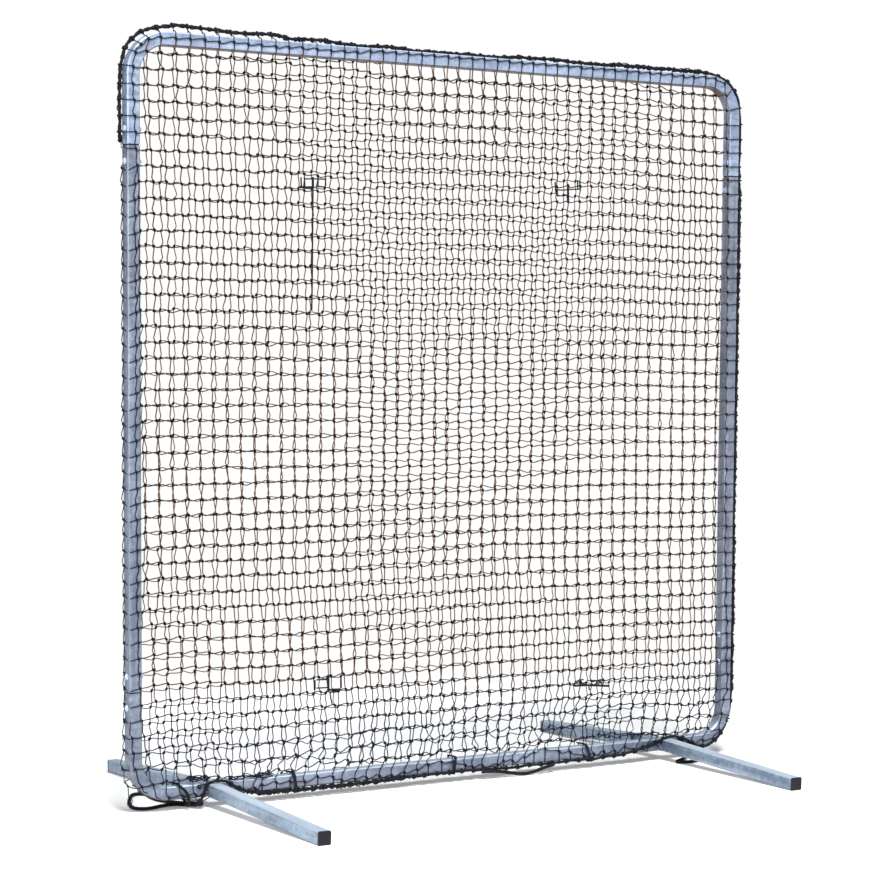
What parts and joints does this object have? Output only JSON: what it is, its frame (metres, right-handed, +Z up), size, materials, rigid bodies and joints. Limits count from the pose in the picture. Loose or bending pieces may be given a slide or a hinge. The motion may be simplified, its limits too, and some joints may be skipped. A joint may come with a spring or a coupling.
{
  "type": "pitching target net",
  "caption": "Square bent-tube frame with netting laced over both faces by a border rope, standing on sloping legs that pull off their spigots.",
  "frame": {"origin": "on the floor, under the middle of the frame", "axes": "+X along the frame to the right as seen from the front, +Y to the back, +Z up"},
  "size_m": [2.1554, 1.3118, 2.1891],
  "materials": {
    "galvanised_tube": "bright zinc-coated tube",
    "zinc_fastener": "zinc plated",
    "blue_nylon": "moulded",
    "black_plastic": "moulded",
    "net_twine": "knotted twine",
    "black_rope": "braided rope"
  },
  "bodies": {
    "frame": {"top_section": "galvanised_tube", "bottom_section": "galvanised_tube", "left_post": "galvanised_tube", "right_post": "galvanised_tube", "upper_left_sleeve": "galvanised_tube", "upper_right_sleeve": "galvanised_tube", "lower_left_sleeve": "galvanised_tube", "lower_right_sleeve": "galvanised_tube", "splice_bolts": "zinc_fastener", "splice_nuts": "zinc_fastener", "nut_inserts": "blue_nylon", "front_net": "net_twine", "rear_net": "net_twine", "net_top_edge": "net_twine", "net_bottom_edge": "net_twine", "net_left_fold": "net_twine", "net_right_edge": "net_twine", "border_rope": "black_rope", "border_knot": "black_rope", "rail_ties": "black_rope", "target_ties": "black_rope", "tail_loop": "black_rope", "middle_slack_loop": "black_rope", "right_slack_loop": "black_rope", "front_left_stub": "galvanised_tube", "front_left_spigot": "galvanised_tube", "front_right_stub": "galvanised_tube", "front_right_spigot": "galvanised_tube", "rear_left_stub": "galvanised_tube", "rear_left_spigot": "galvanised_tube", "rear_right_stub": "galvanised_tube", "rear_right_spigot": "galvanised_tube"},
    "front_left_leg_body": {"front_left_leg": "galvanised_tube", "front_left_cap": "black_plastic"},
    "front_right_leg_body": {"front_right_leg": "galvanised_tube", "front_right_cap": "black_plastic"},
    "rear_left_leg_body": {"rear_left_leg": "galvanised_tube", "rear_left_cap": "black_plastic"},
    "rear_right_leg_body": {"rear_right_leg": "galvanised_tube", "rear_right_cap": "black_plastic"}
  },
  "joints": [
    {"name": "front_left_leg_pull", "type": "slide", "parent": "frame", "child": "front_left_leg_body", "axis": [0, -0.9988, -0.048], "range_m": [0, 0.14]},
    {"name": "front_right_leg_pull", "type": "slide", "parent": "frame", "child": "front_right_leg_body", "axis": [0, -0.9988, -0.048], "range_m": [0, 0.14]},
    {"name": "rear_left_leg_pull", "type": "slide", "parent": "frame", "child": "rear_left_leg_body", "axis": [0, 0.9988, -0.048], "range_m": [0, 0.14]},
    {"name": "rear_right_leg_pull", "type": "slide", "parent": "frame", "child": "rear_right_leg_body", "axis": [0, 0.9988, -0.048], "range_m": [0, 0.14]}
  ]
}
